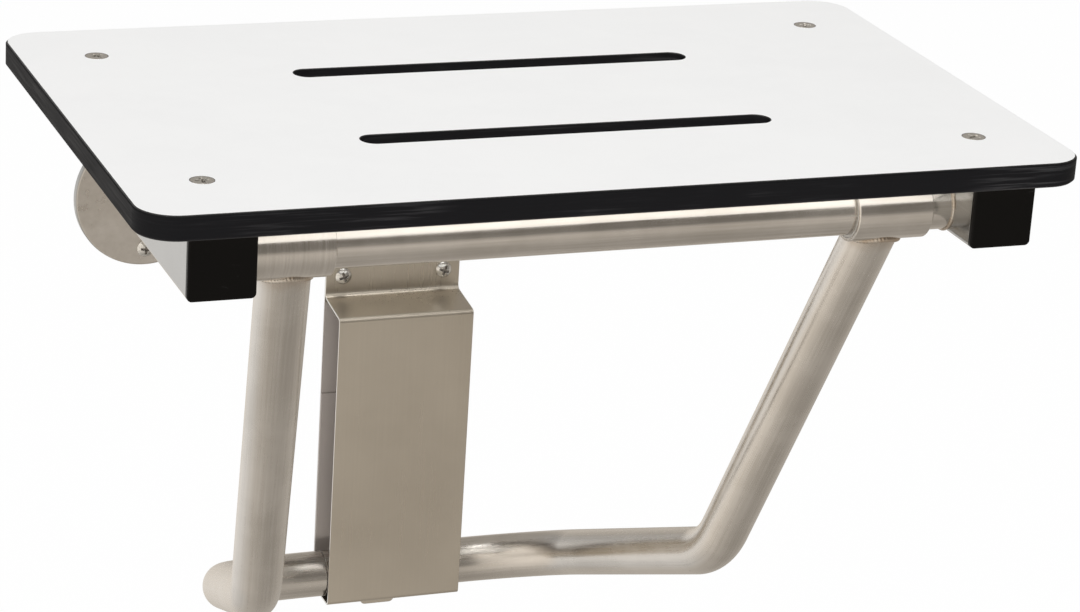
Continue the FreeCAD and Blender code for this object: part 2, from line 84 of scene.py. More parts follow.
def share(name, description, default):
    return FloatProperty(name=name, description=description, default=default, min=0.0, max=1.0,
                         subtype="FACTOR")


def number(name, description, default):
    return FloatProperty(name=name, description=description, default=default, min=0.0)


def colour(name, description, default):
    return FloatVectorProperty(name=name, description=description, default=default, size=3, min=0.0, max=1.0,
                               subtype="COLOR")


class WallSeatFinishes(PropertyGroup):
    """Colours, gloss and grain of the seat's materials."""

    decor_white: colour("Decor white", "Matt white face of the board", (0.86, 0.862, 0.86))
    core_black: colour("Core black", "Black laminate core at the board's edge", (0.0075, 0.0075, 0.0085))
    # machining streaks, lightened to paint in the edge's sheen as well
    core_streak_and_sheen: colour("Core streak", "Machining streaks on the edge of the core", (0.034, 0.034, 0.036))
    plug_black: colour("Plug black", "Moulded end plugs", (0.002, 0.0018, 0.0016))
    liner_grey: colour("Liner grey", "Plastic bearing liners", (0.34, 0.322, 0.295))
    tube_steel: colour("Tube steel", "Satin stainless round tubes", (0.74, 0.711, 0.674))
    tube_shade: colour("Tube shade", "Darker cloudy patches of the round tubes", (0.53, 0.50, 0.46))
    square_steel: colour("Square steel", "Greyer satin of the square side tubes", (0.44, 0.443, 0.44))
    square_shade: colour("Square shade", "Darker cloudy patches of the side tubes", (0.36, 0.36, 0.352))
    sheet_steel: colour("Sheet steel", "Brushed sheet of the guide", (0.63, 0.582, 0.505))
    sheet_shade: colour("Sheet shade", "Darker brushed streaks of the guide", (0.485, 0.443, 0.38))
    screw_steel: colour("Screw steel", "Bright stainless screws", (0.72, 0.715, 0.695))
    weld_steel: colour("Weld steel", "Weld beads", (0.62, 0.575, 0.52))
    mill_grey: colour("Mill grey", "Unpolished steel inside the guide", (0.37, 0.335, 0.315))
    # painted shade that darkens the recesses of the screws
    recess_painted_shade: colour("Recess dirt", "Dark dust in the recesses of the screws", (0.24, 0.225, 0.21))
    heat_tint: colour("Heat tint", "Straw tint beside the welds", (0.47, 0.39, 0.31))
    tube_roughness: share("Tube roughness", "Gloss of the satin straight tubes", 0.18)
    bent_roughness: share("Bent roughness", "Gloss of the blasted bent tubes", 0.28)
    sheet_roughness: share("Sheet roughness", "Gloss of the brushed sheet", 0.33)
    screw_roughness: share("Screw roughness", "Gloss of the screws", 0.16)
    edge_rounding: length("Edge rounding", "Radius that breaks every sharp edge in the light", 0.0004)


class WallSeatFittings(PropertyGroup):
    """Sizes of the screws and the welds."""

    screw_spread: length("Screw spread", "Widest spread of one screw's points across its axis", 0.015)
    head_crown: length("Head crown", "Height of the domed part of a pan head", 0.0022)
    head_height: length("Head height", "Whole height of a pan head", 0.0034)
    neck_diameter: length("Neck", "Plain neck of a wall screw", 0.0052)
    wall_thread: length("Wall thread", "Outer diameter of a wall screw's thread", 0.0048)
    wall_pitch: length("Wall pitch", "Pitch of a wall screw's thread", 0.0018)
    wall_root: share("Wall root", "Root of a wall screw's thread as a share of its radius", 0.68)
    board_thread: length("Board thread", "Outer diameter of a board screw's thread", 0.006)
    board_pitch: length("Board pitch", "Pitch of a board screw's thread", 0.001)
    board_root: share("Board root", "Root of a board screw's thread as a share of its radius", 0.83)
    recess_width: share("Recess width", "Half width of a recess arm as a share of the head's radius", 0.12)
    recess_reach: share("Recess reach", "Reach of a recess arm as a share of the head's radius", 0.58)
    recess_wall: share("Recess wall", "Slope of the recess walls as a share of the head's radius", 0.045)
    recess_depth: length("Recess depth", "Depth of a cross recess at its middle", 0.0019)
    bead_radius: length("Bead radius", "Radius of a weld bead's section", 0.0014)
    bead_pitch: length("Bead pitch", "Distance between a weld bead's ripples", 0.0016)


class WallSeatBends(PropertyGroup):
    """The bent round tubes: the two legs of the brace and the two wall arms."""

    tube_wall: length("Tube wall", "Wall of the round tubes", 0.0012)
    knee_inset: length("Knee inset", "How far a knee lies inward of its sleeve", 0.024)
    knee_reach: length("Knee reach", "How far a knee stands out from the foot", 0.175)
    knee_rise: length("Knee rise", "How far a knee lies above the foot", 0.0754)
    knee_bend: length("Knee bend", "Bend radius at the knees", 0.045)
    foot_run: length("Foot run", "Straight length beside the guide, before its corner is rounded", 0.0551)
    foot_bend: length("Foot bend", "Bend radius beside the foot", 0.058)
    arm_bend: length("Arm bend", "Bend radius of the wall arms", 0.038)
    columns: IntProperty(name="Columns", description="Faces round a bent tube", default=72, min=12)
    bend_rows: IntProperty(name="Bend rows", description="Rows of faces along each bend", default=28, min=4)


class WallSeatStudio(PropertyGroup):
    """Camera, lamps, surround and floor."""

    camera_place: position("Camera place", "Where the camera stands", (-0.5991, -1.7333, 0.6552))
    camera_yaw: angle("Camera yaw", "Turn from +Y toward +X", 0.3769)
    camera_pitch: angle("Camera pitch", "Tilt below the horizon", 0.3507)
    camera_roll: angle("Camera roll", "Turn about the line of sight", 0.0636)
    camera_lens: number("Camera lens", "Focal length in millimetres", 117.71)
    camera_shift: number("Camera shift", "Sideways shift as a share of the frame's width", 0.0028)
    floor_height: FloatProperty(name="Floor height", description="Height of the floor, 460 mm below the seat",
                                default=-0.3006, unit="LENGTH", subtype="DISTANCE")
    floor_size: length("Floor size", "Half width of the floor", 8.0)
    back_level: number("Back level", "Brightness of the surround behind the seat", 0.52)
    left_level: number("Left level", "Brightness of the surround at the camera's left", 1.12)
    right_level: number("Right level", "Brightness of the surround at the camera's right", 0.52)
    low_share: share("Low share", "Share of the brightness that is left straight below", 0.58)
    high_level: number("High level", "Brightness of the surround above and behind the seat", 0.42)
    softbox_level: number("Softbox level", "Brightness of the broad soft light above the camera", 1.1)
    dark_level: number("Dark level", "Brightness of the dark corner of the room in front, at the right", 0.25)
    front_tint: colour("Front tint", "Warm tint of the room that metal reflects in front of the seat",
                       (1.0, 0.925, 0.83))
    lamp_power: number("Lamp power", "Power of the lamp above, in watts", 19.7)
    lamp_place: position("Lamp place", "Where the lamp above hangs", (-0.1, -0.4, 2.2))
    lamp_target: position("Lamp target", "What the lamp above points at", (0.0, -0.18, 0.05))
    lamp_size: extent("Lamp size", "Width and depth of the lamp above", (1.4, 1.0))
    bounce_power: number("Bounce power", "Power of the low lamp that lights the underside, in watts", 8.0)
    bounce_place: position("Bounce place", "Where the low lamp lies", (0.0, -0.54, -0.28))
    bounce_target: position("Bounce target", "What the low lamp points at", (0.0, -0.3, 0.147))
    bounce_size: extent("Bounce size", "Width and depth of the low lamp", (1.5, 0.12))
    bounce_tint: colour("Bounce tint", "Colour of the low lamp", (1.0, 0.96, 0.9))


# Shapes

def middle(node):
    """Middle of a CAD node's box."""
    low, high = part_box(node)
    return np.array((low + high) / 2)


def radius_of(node):
    """Radius of a CAD tube that lies along X."""
    low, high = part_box(node)
    return (high.z - low.z) / 2


def turned(vectors, axis, angles):
    """Vectors turned about a unit axis k, one row for each angle a.

    A turned vector is v cos a + (k x v) sin a + k (k . v)(1 - cos a)."""
    angles = np.atleast_1d(angles)[:, None]
    along = axis * np.dot(vectors, axis)
    return vectors * np.cos(angles) + np.cross(axis, vectors) * np.sin(angles) + along * (1 - np.cos(angles))


def unit(vector):
    """A vector, or each row of vectors, scaled to length one."""
    return vector / np.linalg.norm(vector, axis=-1, keepdims=True)


def ring_faces(rows, columns, close_rows=False):
    """Quads between neighbouring rings of a grid of points, wrapped round its columns."""
    last = rows if close_rows else rows - 1
    row, column = np.meshgrid(np.arange(last), np.arange(columns), indexing="ij")
    next_row, next_column = (row + 1) % rows, (column + 1) % columns
    corners = (row * columns + column, row * columns + next_column,
               next_row * columns + next_column, next_row * columns + column)
    return np.stack(corners, axis=-1).reshape(-1, 4)


def outward(points, quads, triangles):
    """The faces, flipped together where the closed surface is inside out.

    Its volume has the sign of the sum of a . (b x c) over the triangles, with each quad split in two."""
    split = np.concatenate((quads[:, [0, 1, 2]], quads[:, [0, 2, 3]], triangles))
    first, second, third = points[split].transpose(1, 0, 2)
    if np.einsum("ij,ij->", first, np.cross(second, third)) < 0:
        quads, triangles = quads[:, ::-1], triangles[:, ::-1]
    return points, quads, triangles


def joined(solids):
    """Several closed surfaces as one set of points and faces."""
    counts = np.cumsum([0] + [len(solid[0]) for solid in solids])
    parts = [(points, quads + count, triangles + count)
             for (points, quads, triangles), count in zip(solids, counts)]
    return tuple(np.concatenate(part) for part in zip(*parts))


def piece(name, solid, material, sharp_angle=40.0, straight=None, hollow=None):
    """A new object from points and faces, smooth but for its sharp edges, with its own attributes."""
    points, quads, triangles = solid
    mesh = bpy.data.meshes.new(name)
    mesh.from_pydata(points.tolist(), [], quads.tolist() + triangles.tolist())
    mesh.polygons.foreach_set("use_smooth", np.ones(len(mesh.polygons), bool))
    mesh.set_sharp_from_angle(angle=math.radians(sharp_angle))
    if straight is not None:
        attribute = mesh.attributes.new("straight", "FLOAT_VECTOR", "POINT")
        attribute.data.foreach_set("vector", straight.astype(np.float32).ravel())
    if hollow is not None:
        mesh.attributes.new("hollow", "FLOAT", "POINT").data.foreach_set("value", hollow.astype(np.float32))
    mesh.materials.append(material)
    mesh.update()
    made = bpy.data.objects.new(name, mesh)
    bpy.context.scene.collection.objects.link(made)
    return made


def widest_bend(before, corner, after):
    """Largest bend radius that the shorter of two runs leaves room for: run / tan(turn / 2)."""
    coming, going = corner - before, after - corner
    turn = math.acos(np.dot(unit(coming), unit(going)))
    return min(np.linalg.norm(coming), np.linalg.norm(going)) / math.tan(turn / 2)


def bent_path(corners, radii, rows):
    """Centre line of straight runs and tangent arcs, with a frame carried along it.

    Each arc turns the frame about the normal of its two runs. Returns the centres, the two directions across
    the line and the length along it, one row each."""
    direction = unit(corners[1] - corners[0])
    across = unit(np.cross(direction, X_AXIS))
    up = np.cross(direction, across)
    centres, firsts, seconds, lengths = [corners[:1]], [across[None]], [up[None]], [np.zeros(1)]
    place, travelled = corners[0], 0.0
    for corner, after, radius in zip(corners[1:], corners[2:], radii):
        going = unit(after - corner)
        axis = unit(np.cross(direction, going))
        turn = math.acos(np.dot(direction, going))
        start = corner - direction * radius * math.tan(turn / 2)
        hub = start + np.cross(axis, direction) * radius
        angles = np.linspace(0, turn, rows)
        travelled += np.linalg.norm(start - place)
        centres.append(hub + turned(start - hub, axis, angles))
        firsts.append(turned(across, axis, angles))
        seconds.append(turned(up, axis, angles))
        lengths.append(travelled + radius * angles)
        place, travelled = centres[-1][-1], travelled + radius * turn
        direction, across, up = going, firsts[-1][-1], seconds[-1][-1]
    centres.append(corners[-1:])
    firsts.append(across[None])
    seconds.append(up[None])
    lengths.append(np.array([travelled + np.linalg.norm(corners[-1] - place)]))
    return (np.concatenate(centres), np.concatenate(firsts), np.concatenate(seconds), np.concatenate(lengths))


def coped_distance(offsets, direction, radius):
    """How far along a run its surface leaves a cylinder about X.

    It is the larger root t of |o + t d| = radius, in Y and Z only."""
    across, along = offsets[:, 1:], direction[1:]
    squared = along @ along
    half = across @ along
    rest = (across ** 2).sum(axis=1) - radius ** 2
    return (-half + np.sqrt(half ** 2 - squared * rest)) / squared


def bent_tube(corners, radii, tube_radius, tube_wall, cope_radius, columns, rows):
    """Closed wall of a bent tube whose first end is coped round a cylinder about X through its first corner.

    A point lies at centre + r (a cos t + b sin t), with t round the tube. The outer skin runs to the far end
    and the inner skin runs back. The straight attribute is the same point on the tube before bending."""
    centres, firsts, seconds, lengths = bent_path(corners, radii, rows)
    direction = unit(corners[1] - corners[0])
    angles = np.linspace(0, FULL_TURN, columns, endpoint=False)
    skins, straights = [], []
    for radius in (tube_radius, tube_radius - tube_wall):
        cos, sin = radius * np.cos(angles), radius * np.sin(angles)
        offsets = firsts[:, None] * cos[:, None] + seconds[:, None] * sin[:, None]
        skin = centres[:, None] + offsets
        start = coped_distance(offsets[0], direction, cope_radius)
        skin[0] += start[:, None] * direction
        along = np.repeat(lengths[:, None], columns, axis=1)
        along[0] += start
        skins.append(skin)
        straights.append(np.stack(np.broadcast_arrays(along, cos, sin), axis=-1))
    points = np.concatenate((skins[0], skins[1][::-1]))
    straight = np.concatenate((straights[0], straights[1][::-1]))
    faces = ring_faces(len(points), columns, close_rows=True)
    solid = outward(points.reshape(-1, 3), faces, NO_TRIANGLES)
    return solid, straight.reshape(-1, 3)


def weld_bead(line, side_a, side_b, radius, pitch, columns=14):
    """Closed bead along a closed line, in the corner between two surfaces with the given outward directions.

    Its section is a circle of 0.86 + 0.2 |sin(pi s / pitch - lag)| ** 0.6 of the radius, with s along the
    line and the pitch rounded so that the ripples close. The lag is 0.9 (1 - cos t), with t round the section
    from its crest, so that the ripples are crescents. The circle's middle stands 0.25 of the radius off the
    line."""
    plain, rippled, sharpness, lean, stand_off = 0.86, 0.2, 0.6, 0.9, 0.25
    step = np.linalg.norm(np.roll(line, -1, axis=0) - line, axis=1)
    along = np.concatenate(([0.0], np.cumsum(step)[:-1]))
    ripples = max(8, round(step.sum() / pitch))
    phase = math.pi * ripples * along / step.sum()
    tangent = unit(np.roll(line, -1, axis=0) - np.roll(line, 1, axis=0))
    crest = unit(side_a + side_b)
    crest = unit(crest - tangent * (crest * tangent).sum(axis=1, keepdims=True))
    beside = np.cross(tangent, crest)
    angles = np.linspace(0, FULL_TURN, columns, endpoint=False)
    lag = lean * (1 - np.cos(angles))
    swell = plain + rippled * np.abs(np.sin(phase[:, None] - lag)) ** sharpness
    cos, sin = (swell * np.cos(angles))[..., None], (swell * np.sin(angles))[..., None]
    ring = line[:, None] + radius * (crest[:, None] * (stand_off + cos) + beside[:, None] * sin)
    faces = ring_faces(len(line), columns, close_rows=True)
    return outward(ring.reshape(-1, 3), faces, NO_TRIANGLES)


def circle_bead(centre, radius, axis_name, facing, bead_radius, pitch):
    """Bead round the foot of a tube that stands square on a flat face. Facing is the face's outward sign."""
    count = 360
    angles = np.linspace(0, FULL_TURN, count, endpoint=False)
    spokes, face = np.zeros((count, 3)), np.zeros((count, 3))
    axis = "xyz".index(axis_name)
    spokes[:, (axis + 1) % 3] = np.cos(angles)
    spokes[:, (axis + 2) % 3] = np.sin(angles)
    face[:, axis] = facing
    return weld_bead(centre + spokes * radius, spokes, face, bead_radius, pitch)


def cope_bead(top, next_corner, tube_radius, sleeve_radius, bead_radius, pitch):
    """Bead along the line where a tube's outer skin meets a sleeve about X."""
    direction = unit(next_corner - top)
    across = unit(np.cross(direction, X_AXIS))
    up = np.cross(direction, across)
    count = 400
    angles = np.linspace(0, FULL_TURN, count, endpoint=False)[:, None]
    spokes = across * np.cos(angles) + up * np.sin(angles)
    offsets = spokes * tube_radius
    line = top + offsets + coped_distance(offsets, direction, sleeve_radius)[:, None] * direction
    sleeve_side = unit((line - top) * np.array((0.0, 1.0, 1.0)))
    return weld_bead(line, spokes, sleeve_side, bead_radius, pitch)


def recess_lines(fit):
    """Grid lines from -1 to 1, on the edges and the walls of a cross recess and a few beyond it."""
    wide, reach, wall = fit.recess_width, fit.recess_reach, fit.recess_wall
    beyond = [0.7, 0.84, 0.95, 1.0]
    half = [0.0, wide, wide + wall, (wide + wall + reach) / 2, reach, reach + wall, *beyond]
    return np.array([-value for value in half[:0:-1]] + half)


def screw_head_cap(fit, head_radius, crown):
    """Domed or flat top of a screw head with a cross recess.

    A square grid is mapped to a disc by x = u sqrt(1 - v v / 2), y = v sqrt(1 - u u / 2). The height is the
    crown's arc less the recess, a cross whose depth falls evenly by 0.55 toward the ends of its arms and
    slopes out over their walls. Returns the points and the quads, the grid's border in turning order and how
    deep in the recess each point lies, as a share."""
    depth_fall = 0.55
    lines = recess_lines(fit)
    count = len(lines)
    u, v = np.meshgrid(lines, lines)
    x, y = u * np.sqrt(1 - v ** 2 / 2), v * np.sqrt(1 - u ** 2 / 2)
    height = np.zeros_like(x)
    if crown:
        bow = (head_radius ** 2 + crown ** 2) / (2 * crown)
        spread = np.clip((x ** 2 + y ** 2) * head_radius ** 2, 0, head_radius ** 2)
        height = np.sqrt(bow ** 2 - spread) - bow
    narrow, far = np.minimum(abs(u), abs(v)), np.maximum(abs(u), abs(v))
    across = np.clip(1 - (narrow - fit.recess_width) / fit.recess_wall, 0, 1)
    along = np.clip(1 - (far - fit.recess_reach) / fit.recess_wall, 0, 1)
    depth = fit.recess_depth * (1 - depth_fall * np.clip(far / fit.recess_reach, 0, 1))
    height = height - depth * across * along
    hollow = (across * along).ravel()
    points = np.stack((x * head_radius, y * head_radius, height), axis=-1).reshape(-1, 3)
    row, column = np.meshgrid(np.arange(count - 1), np.arange(count - 1), indexing="ij")
    corner = row * count + column
    quads = np.stack((corner, corner + 1, corner + count + 1, corner + count), axis=-1).reshape(-1, 4)
    side = np.arange(count - 1)
    last = count - 1
    border = np.concatenate((side, side * count + last, last * count + last - side, (last - side) * count))
    return points, quads, border, hollow


def thread_rows(start, end, pitch, crest, root, rows_per_turn=8):
    """Heights along a shank, and the radius at each height for an angle t round it.

    The radius rises and falls once for each turn of the helix, with flat crests, fades in below the neck and
    fades out to a blunt cone at the tip."""
    tip_length, tip_share = 2.2 * pitch, 0.45
    steepness, valley = 1.7, 0.35
    heights = np.linspace(start, end, int((start - end) / pitch * rows_per_turn))
    fade = np.clip((start - heights) / pitch, 0, 1)
    tip = np.clip((heights - end) / tip_length, 0, 1)

    def radius(angles):
        saw = (heights[:, None] / pitch + angles / FULL_TURN) % 1.0
        ridge = np.clip(steepness * (1 - np.abs(2 * saw - 1)) - valley, 0, 1)
        swell = root + (crest - root) * ridge * (fade * tip)[:, None]
        return swell * (tip_share + (1 - tip_share) * tip)[:, None]

    return heights, radius


def threaded_screw(fit, head_radius, crown, profile, thread):
    """One screw along Z with its head's top at 0: the recessed cap, rings down the profile, and the thread.

    Returns the solid, and how deep in the recess each point lies."""
    cap_points, cap_quads, border, hollow = screw_head_cap(fit, head_radius, crown)
    rim = cap_points[border]
    angles = np.arctan2(rim[:, 1], rim[:, 0])
    spokes = np.stack((np.cos(angles), np.sin(angles)), axis=-1)
    radii, heights = np.array(profile).T
    thread_heights, thread_radius = thread
    radii = np.concatenate((np.repeat(radii[:, None], len(angles), axis=1), thread_radius(angles)))
    heights = np.concatenate((heights, thread_heights))
    rings = np.empty((len(heights), len(angles), 3))
    rings[..., :2] = radii[..., None] * spokes
    rings[..., 2] = heights[:, None]
    count, columns = len(cap_points), len(angles)
    tip = np.array([[0.0, 0.0, heights[-1]]])
    points = np.concatenate((cap_points, rings.reshape(-1, 3), tip))
    quads = ring_faces(len(heights), columns) + count
    first = np.arange(columns) + count
    collar = np.stack((border, np.roll(border, -1), np.roll(first, -1), first), axis=-1)
    last = first + (len(heights) - 1) * columns
    cone = np.stack((last, np.roll(last, -1), np.full(columns, len(points) - 1)), axis=-1)
    # the cap's quads face outward and the others inward, so the others are turned round
    quads = np.concatenate((cap_quads, collar[:, ::-1], quads[:, ::-1]))
    deep = np.zeros(len(points))
    deep[:count] = hollow
    return outward(points, quads, cone[:, ::-1]), deep


def set_screw(solid, place, head_direction, turn):
    """A screw made along Z, turned about its own axis, with its head pointing the given way at its place."""
    points, quads, triangles = solid
    spin = np.array(Matrix.Rotation(turn, 3, "Z"))
    aim = np.array(Vector((0, 0, 1)).rotation_difference(Vector(head_direction)).to_matrix())
    return points @ (aim @ spin).T + place, quads, triangles


# Node trees

def add_node(tree, kind, inputs=None, **settings):
    """A new node with its settings, whose inputs are linked or set."""
    made = tree.nodes.new(kind)
    for name, value in settings.items():
        setattr(made, name, value)
    for socket, value in (inputs or {}).items():
        if isinstance(value, bpy.types.NodeSocket):
            tree.links.new(value, made.inputs[socket])
        else:
            made.inputs[socket].default_value = value
    return made


def math_node(tree, operation, first, second=0.0, clamp=False):
    values = {0: first, 1: second}
    return add_node(tree, "ShaderNodeMath", values, operation=operation, use_clamp=clamp).outputs[0]


def product(tree, *values):
    """All the values multiplied."""
    result = values[0]
    for value in values[1:]:
        result = math_node(tree, "MULTIPLY", result, value)
    return result


def total(tree, *values):
    """All the values added."""
    result = values[0]
    for value in values[1:]:
        result = math_node(tree, "ADD", result, value)
    return result


def vector_math(tree, operation, first, second=(0.0, 0.0, 0.0), output="Vector"):
    return add_node(tree, "ShaderNodeVectorMath", {0: first, 1: second}, operation=operation).outputs[output]


def noise(tree, place, scale, detail=2.0, roughness=0.5, output="Fac"):
    """Noise with lumps about one metre over the scale wide."""
    settings = {"Vector": place, "Scale": scale, "Detail": detail, "Roughness": roughness}
    return add_node(tree, "ShaderNodeTexNoise", settings).outputs[output]


def ranged(tree, value, low, high, to_low=0.0, to_high=1.0):
    """A value carried smoothly from one range to another."""
    ends = {"Value": value, "From Min": low, "From Max": high, "To Min": to_low, "To Max": to_high}
    return add_node(tree, "ShaderNodeMapRange", ends, interpolation_type="SMOOTHSTEP").outputs[0]


def between(tree, mask, start, end):
    """From one value where the mask is 0 to another where it is 1."""
    return ranged(tree, mask, 0.0, 1.0, start, end)


def mixed(tree, factor, first, second):
    """One colour blended into another."""
    return add_node(tree, "ShaderNodeMix", {0: factor, 6: first, 7: second}, data_type="RGBA").outputs[2]


def new_group(name, inputs, output):
    """A shader group with one number as its output. An input is a vector where its default is one.

    Returns the group, its input sockets by name and the socket that the result is linked to."""
    tree = bpy.data.node_groups.new(name, "ShaderNodeTree")
    for socket, default in inputs.items():
        kind = "NodeSocketVector" if isinstance(default, tuple) else "NodeSocketFloat"
        tree.interface.new_socket(socket, in_out="INPUT", socket_type=kind).default_value = default
    tree.interface.new_socket(output, in_out="OUTPUT", socket_type="NodeSocketFloat")
    given, result = tree.nodes.new("NodeGroupInput"), tree.nodes.new("NodeGroupOutput")
    return tree, given.outputs, result.inputs[output]


def grain_group():
    """Fine lines drawn out along one direction: noise on coordinates that the Squeeze vector multiplies."""
    inputs = {"Vector": (0.0, 0.0, 0.0), "Squeeze": (1.0, 1.0, 1.0), "Contrast": 1.0}
    tree, given, result = new_group("brushed_grain", inputs, "Lines")
    squeezed = vector_math(tree, "MULTIPLY", given["Vector"], given["Squeeze"])
    centred = math_node(tree, "SUBTRACT", noise(tree, squeezed, 1.0, 3.0, 0.55), 0.5)
    spread = product(tree, centred, given["Contrast"])
    tree.links.new(math_node(tree, "ADD", spread, 0.5, clamp=True), result)
    return tree


def cloud_group():
    """Soft cloudy patches: noise bent by a second, slower noise."""
    inputs = {"Vector": (0.0, 0.0, 0.0), "Scale": 20.0, "Low": 0.35, "High": 0.65}
    tree, given, result = new_group("cloudy_patches", inputs, "Patches")
    slow = noise(tree, given["Vector"], 11.0, output="Color")
    bend = vector_math(tree, "MULTIPLY", slow, (0.03, 0.03, 0.03))
    place = vector_math(tree, "ADD", given["Vector"], bend)
    patches = noise(tree, place, given["Scale"], 4.0, 0.55)
    tree.links.new(ranged(tree, patches, given["Low"], given["High"]), result)
    return tree


def scuff_group():
    """Sparse hair scratches: thin bands of bent noise, kept only where a slower noise is high."""
    inputs = {"Vector": (0.0, 0.0, 0.0), "Squeeze": (60.0, 60.0, 60.0), "Width": 0.006, "Cover": 0.6}
    tree, given, result = new_group("hair_scratches", inputs, "Scratches")
    squeezed = vector_math(tree, "MULTIPLY", given["Vector"], given["Squeeze"])
    centred = math_node(tree, "SUBTRACT", noise(tree, squeezed, 1.0, 1.0), 0.5)
    line = ranged(tree, math_node(tree, "ABSOLUTE", centred), given["Width"], 0.0)
    upper = math_node(tree, "ADD", given["Cover"], 0.06)
    kept = ranged(tree, noise(tree, given["Vector"], 38.0), given["Cover"], upper)
    tree.links.new(product(tree, line, kept), result)
    return tree


def tint_group():
    """Heat tint round a line along X: full at the Near distance, none at the Far one, uneven by 3 mm."""
    inputs = {"Vector": (0.0, 0.0, 0.0), "Line": (0.0, 0.0, 0.0), "Near": 0.016, "Far": 0.024}
    tree, given, result = new_group("weld_heat", inputs, "Heat")
    away = vector_math(tree, "SUBTRACT", given["Vector"], given["Line"])
    flat = vector_math(tree, "MULTIPLY", away, (0.0, 1.0, 1.0))
    distance = vector_math(tree, "LENGTH", flat, output="Value")
    centred = math_node(tree, "SUBTRACT", noise(tree, given["Vector"], 160.0), 0.5)
    distance = total(tree, distance, product(tree, centred, 0.006))
    tree.links.new(ranged(tree, distance, given["Far"], given["Near"]), result)
    return tree


GROUP_MAKERS = {"brushed_grain": grain_group, "cloudy_patches": cloud_group, "hair_scratches": scuff_group,
                "weld_heat": tint_group}


def placed_group(tree, name, inputs):
    """A shared group, made the first time it is asked for, placed in a material."""
    group = bpy.data.node_groups.get(name) or GROUP_MAKERS[name]()
    return add_node(tree, "ShaderNodeGroup", inputs, node_tree=group).outputs[0]


def new_material(name, metallic=0.0, roughness=0.5, specular=0.5):
    """A material with the constants of its shader. Returns it with its tree and its object coordinates."""
    material = bpy.data.materials.new(name)
    material.use_nodes = True
    tree = material.node_tree
    constants = {"Metallic": metallic, "Roughness": roughness, "Specular IOR Level": specular}
    for socket, value in constants.items():
        tree.nodes["Principled BSDF"].inputs[socket].default_value = value
    return material, tree, add_node(tree, "ShaderNodeTexCoord").outputs["Object"]


def wired(material, sockets):
    """The material, with what varies over its surface linked to its shader's sockets."""
    tree = material.node_tree
    for socket, value in sockets.items():
        tree.links.new(value, tree.nodes["Principled BSDF"].inputs[socket])
    return material


def opaque(rgb, share=1.0):
    """A colour, or a darker share of it, with full alpha."""
    return (*(share * value for value in rgb), 1.0)


def facing(tree, axis, low=0.35, high=0.6):
    """One where a surface of the piece faces along its axis X, Y or Z, zero where it faces across it."""
    normal = add_node(tree, "ShaderNodeTexCoord").outputs["Normal"]
    part = add_node(tree, "ShaderNodeSeparateXYZ", {0: normal}).outputs[axis]
    return ranged(tree, math_node(tree, "ABSOLUTE", part), low, high)


def guide_inside(tree, place):
    """One on the steel inside the guide: between the cover's front and the wall, below the cover's shelf and
    above the plate's tab."""
    parts = add_node(tree, "ShaderNodeSeparateXYZ", {0: place}).outputs
    low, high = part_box("guide_cover")
    sheet, shelf_depth, tab_height = 0.001, 0.032, 0.012
    shelf = high.z - shelf_depth
    return product(tree,
                   ranged(tree, parts["Y"], low.y + 1.5 * sheet, low.y + 2.5 * sheet),
                   ranged(tree, parts["Y"], -0.2 * sheet, -0.6 * sheet),
                   ranged(tree, parts["Z"], shelf + sheet, shelf - sheet),
                   ranged(tree, parts["Z"], low.z, low.z + tab_height))


def soft_edges(tree, radius, height, strength, distance):
    """Normal of a surface whose sharp edges are broken to a radius, with a fine relief on it."""
    rounded = add_node(tree, "ShaderNodeBevel", {"Radius": radius}, samples=6).outputs[0]
    relief = {"Strength": strength, "Distance": distance, "Height": height, "Normal": rounded}
    return add_node(tree, "ShaderNodeBump", relief).outputs[0]


def decor_material(finish):
    """Matt white laminate with a pearly fine texture and faint clouds, and black where its edge is cut."""
    material, tree, place = new_material("white_decor_face")
    clouds = placed_group(tree, "cloudy_patches", {"Vector": place, "Scale": 16.0, "Low": 0.3, "High": 0.75})
    tint = mixed(tree, clouds, opaque(finish.decor_white), opaque(finish.decor_white, 0.965))
    tint = mixed(tree, facing(tree, "Z", 0.88, 0.96), opaque(finish.core_black), tint)
    pearl = noise(tree, place, 1100.0)
    normal = soft_edges(tree, finish.edge_rounding, pearl, strength=0.12, distance=0.00008)
    rough = between(tree, clouds, 0.46, 0.54)
    return wired(material, {"Base Color": tint, "Roughness": rough, "Normal": normal})


def core_material(finish):
    """Black laminate core, routed along its edge: fine streaks that run level round the board, their lighter
    colour partly painted sheen.
    """
    material, tree, place = new_material("black_core_edge", specular=0.05)
    streaks = placed_group(tree, "brushed_grain", {"Vector": place, "Squeeze": (26.0, 26.0, 900.0),
                                                   "Contrast": 2.2})
    clouds = placed_group(tree, "cloudy_patches", {"Vector": place, "Scale": 14.0, "Low": 0.42, "High": 0.7})
    amount = product(tree, ranged(tree, streaks, 0.45, 1.0), clouds)
    # the lighter streaks are real machining marks and painted sheen
    tint = mixed(tree, amount, opaque(finish.core_black), opaque(finish.core_streak_and_sheen))
    normal = soft_edges(tree, finish.edge_rounding, streaks, strength=0.35, distance=0.00012)
    rough = between(tree, streaks, 0.5, 0.66)
    return wired(material, {"Base Color": tint, "Roughness": rough, "Normal": normal})


def plug_material(finish):
    """Moulded black plastic: fine spark texture, soft edges and a few light hair scratches."""
    material, tree, place = new_material("black_plug_plastic", specular=0.1)
    scratches = placed_group(tree, "hair_scratches", {"Vector": place, "Squeeze": (40.0, 40.0, 190.0),
                                                      "Width": 0.004, "Cover": 0.62})
    pale = [0.035 + value for value in finish.plug_black]
    tint = mixed(tree, scratches, opaque(finish.plug_black), opaque(pale))
    spark = noise(tree, place, 2600.0)
    normal = soft_edges(tree, finish.edge_rounding, spark, strength=0.15, distance=0.00006)
    rough = ranged(tree, spark, 0.3, 0.7, 0.3, 0.42)
    return wired(material, {"Base Color": tint, "Roughness": rough, "Normal": normal})


